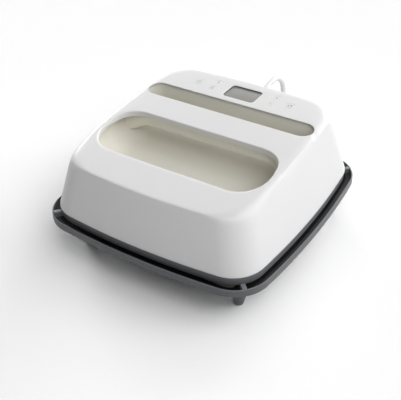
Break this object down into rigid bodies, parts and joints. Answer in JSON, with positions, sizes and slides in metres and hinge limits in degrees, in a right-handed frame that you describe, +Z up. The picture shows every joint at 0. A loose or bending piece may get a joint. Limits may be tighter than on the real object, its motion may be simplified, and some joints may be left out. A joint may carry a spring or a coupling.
{
  "type": "heat press",
  "caption": "Flat handheld heat press for craft transfers, with a moulded handle, display and push buttons, resting in its insulated safety base.",
  "frame": {"origin": "on the floor under the middle of the safety base", "axes": "+Z up, +X to the right of a user at the front, +Y to the rear, where the control panel and the cord are"},
  "size_m": [0.3292, 0.4004, 0.1382],
  "materials": {
    "shell_white": "smooth satin moulded plastic",
    "handle_beige": "fine matt moulded plastic",
    "frame_grey": "matt heat-resistant moulded plastic",
    "base_grey": "matt moulded plastic",
    "foot_rubber": "matt rubber",
    "core_board": "pressed mineral fibre",
    "mat_felt": "heat-proof felt",
    "plate_coated": "non-stick coated die-cast aluminium",
    "blanket_fibre": "ceramic fibre",
    "steel": "zinc-plated steel",
    "ceramic": "unglazed ceramic",
    "circuit_green": "solder-resist circuit board",
    "part_black": "moulded electronic part",
    "screen_glass": "tinted glossy display lens",
    "screen_grey": "liquid crystal display",
    "button_white": "smooth satin moulded plastic",
    "cord_white": "soft sheath",
    "pin_brass": "plain metal"
  },
  "bodies": {
    "base": {"base_tray": "base_grey", "base_feet": "foot_rubber", "base_core": "core_board", "base_mat": "mat_felt", "corner_rests": "base_grey", "cord_coil": "cord_white", "cord_tie": "part_black", "plug_body": "cord_white", "plug_pins": "pin_brass"},
    "press": {"top_shell": "shell_white", "lower_frame": "frame_grey", "handle_tub": "handle_beige", "handle_grip": "handle_beige", "display_window": "screen_glass", "display_module": "screen_grey", "button_switches": "part_black", "control_board": "circuit_green", "board_screws": "steel", "buzzer": "part_black", "heat_plate": "plate_coated", "heating_element": "steel", "element_clamps": "steel", "temperature_sensor": "ceramic", "thermal_fuse": "ceramic", "insulation_blanket": "blanket_fibre", "heat_shield": "steel", "plate_standoffs": "ceramic", "plate_studs": "steel", "frame_screws": "steel", "tub_screws": "steel", "grip_screws": "steel", "power_board": "circuit_green", "power_board_legs": "part_black", "power_relay": "part_black", "supply_transformer": "part_black", "filter_capacitor": "part_black", "heat_sink": "steel", "terminal_block": "part_black", "strain_relief": "cord_white", "cord_clamp": "part_black", "cord_run": "cord_white"},
    "power_button": {"power_button": "button_white"},
    "temperature_button": {"temperature_button": "button_white"},
    "timer_button": {"timer_button": "button_white"},
    "plus_button": {"plus_button": "button_white"},
    "minus_button": {"minus_button": "button_white"},
    "start_button": {"start_button": "button_white"}
  },
  "joints": [
    {"name": "press_lift", "type": "slide", "parent": "base", "child": "press", "axis": [0, 0, 1], "range_m": [0, 0.08]},
    {"name": "power_button_travel", "type": "slide", "parent": "press", "child": "power_button", "axis": [0, 0, -1], "range_m": [0, 0.0008], "stiffness_N_per_m": 300, "springref_m": -0.0005},
    {"name": "temperature_button_travel", "type": "slide", "parent": "press", "child": "temperature_button", "axis": [0, 0, -1], "range_m": [0, 0.0008], "stiffness_N_per_m": 300, "springref_m": -0.0005},
    {"name": "timer_button_travel", "type": "slide", "parent": "press", "child": "timer_button", "axis": [0, 0, -1], "range_m": [0, 0.0008], "stiffness_N_per_m": 300, "springref_m": -0.0005},
    {"name": "plus_button_travel", "type": "slide", "parent": "press", "child": "plus_button", "axis": [0, 0, -1], "range_m": [0, 0.0008], "stiffness_N_per_m": 300, "springref_m": -0.0005},
    {"name": "minus_button_travel", "type": "slide", "parent": "press", "child": "minus_button", "axis": [0, 0, -1], "range_m": [0, 0.0008], "stiffness_N_per_m": 300, "springref_m": -0.0005},
    {"name": "start_button_travel", "type": "slide", "parent": "press", "child": "start_button", "axis": [0, 0, -1], "range_m": [0, 0.0008], "stiffness_N_per_m": 300, "springref_m": -0.0005}
  ]
}
